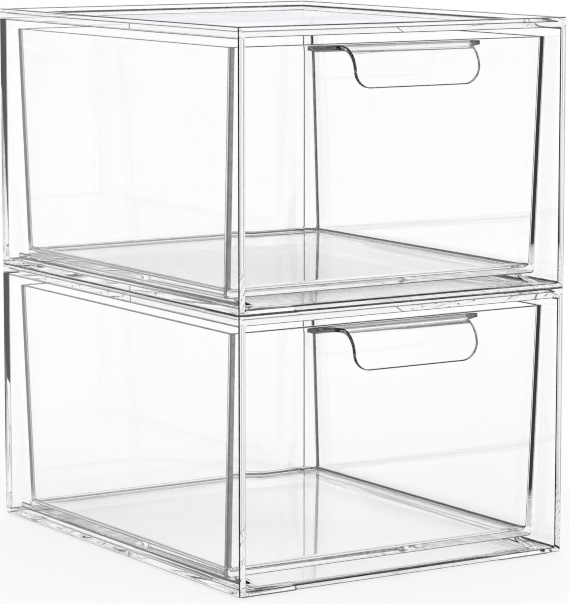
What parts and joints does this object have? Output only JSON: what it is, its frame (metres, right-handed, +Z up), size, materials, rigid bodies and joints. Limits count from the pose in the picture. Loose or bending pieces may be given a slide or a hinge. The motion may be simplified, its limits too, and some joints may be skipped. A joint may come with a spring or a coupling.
{
  "type": "stackable drawer organizer",
  "caption": "Stack of clear open-fronted boxes, each holding a pull-out drawer with a curled-over finger pull, with corner feet that nest inside the rim below.",
  "frame": {"origin": "centre of the whole stack's bounding box in plan, pulls included, at the level of the lower unit's feet", "axes": "+Z up, -Y towards the open fronts, the way the drawers slide out, +X to the right seen from the front"},
  "size_m": [0.19, 0.2458, 0.2694],
  "materials": {
    "case_clear": "crystal-clear moulded plastic, polished on both sides",
    "drawer_clear": "crystal-clear moulded plastic, polished on both sides"
  },
  "bodies": {
    "lower_case": {"lower_case": "case_clear"},
    "lower_drawer": {"lower_drawer": "drawer_clear"},
    "upper_case": {"upper_case": "case_clear"},
    "upper_drawer": {"upper_drawer": "drawer_clear"}
  },
  "joints": [
    {"name": "lower_drawer_slide", "type": "slide", "parent": "lower_case", "child": "lower_drawer", "axis": [0, -1, 0], "range_m": [-0.011, 0.17]},
    {"name": "upper_unit_lift", "type": "slide", "parent": "lower_case", "child": "upper_case", "axis": [0, 0, 1], "range_m": [0, 0.1]},
    {"name": "upper_drawer_slide", "type": "slide", "parent": "upper_case", "child": "upper_drawer", "axis": [0, -1, 0], "range_m": [-0.011, 0.17]}
  ]
}
